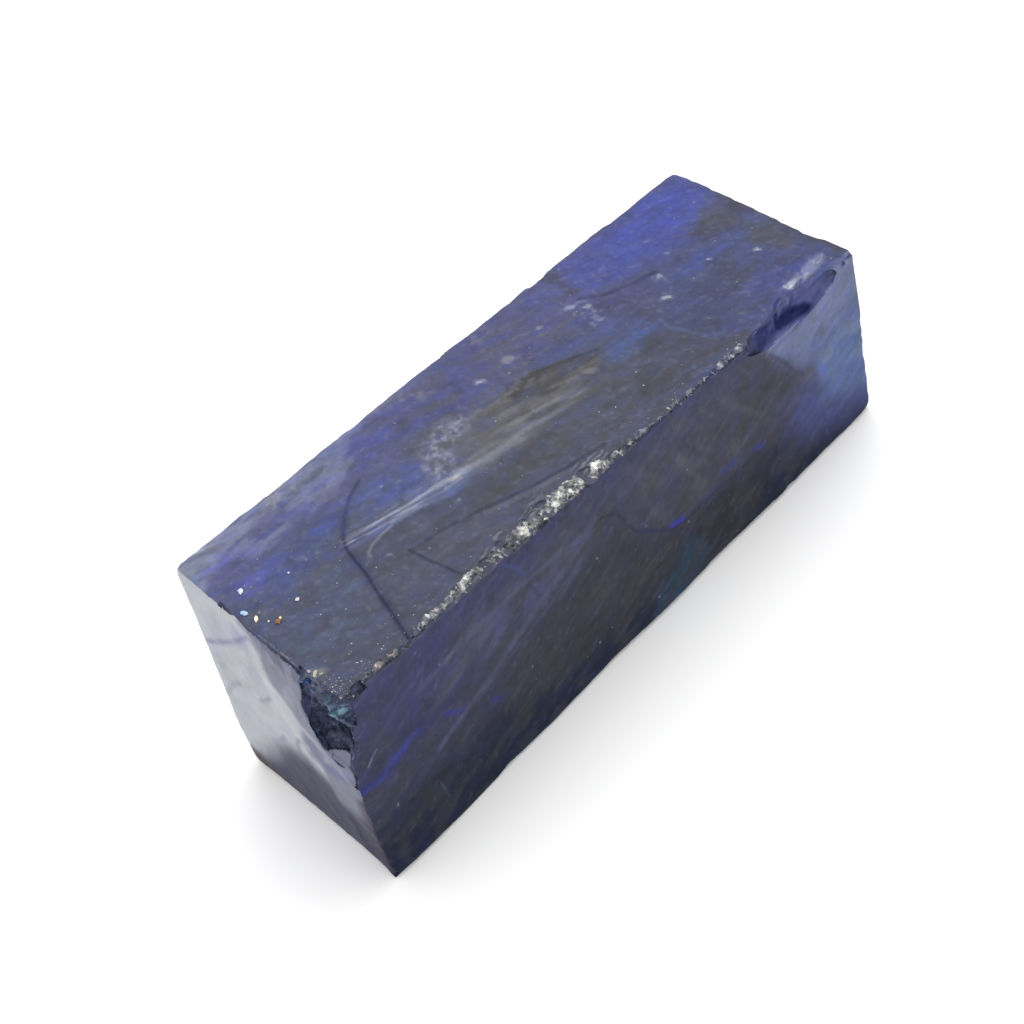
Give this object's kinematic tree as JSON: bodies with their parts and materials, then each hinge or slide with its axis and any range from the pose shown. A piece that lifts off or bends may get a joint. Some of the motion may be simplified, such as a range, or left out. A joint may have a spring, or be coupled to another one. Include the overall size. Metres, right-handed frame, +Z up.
{
  "type": "rough sapphire block",
  "caption": "Sawn rectangular block of opaque blue rough stone with chipped arrises and corners, lying flat on one long side.",
  "frame": {"origin": "middle of the base, at the bottom centre of the bounding box", "axes": "+X along the block from its near end to its far end, +Y from its front face to its back face, +Z up"},
  "size_m": [0.0521, 0.0167, 0.0179],
  "materials": {
    "sapphire_rough": "sawn and lightly lapped opaque blue corundum with grey bands, brighter blue patches and glassy chips"
  },
  "bodies": {
    "root": {"rough_sapphire": "sapphire_rough"}
  },
  "joints": []
}
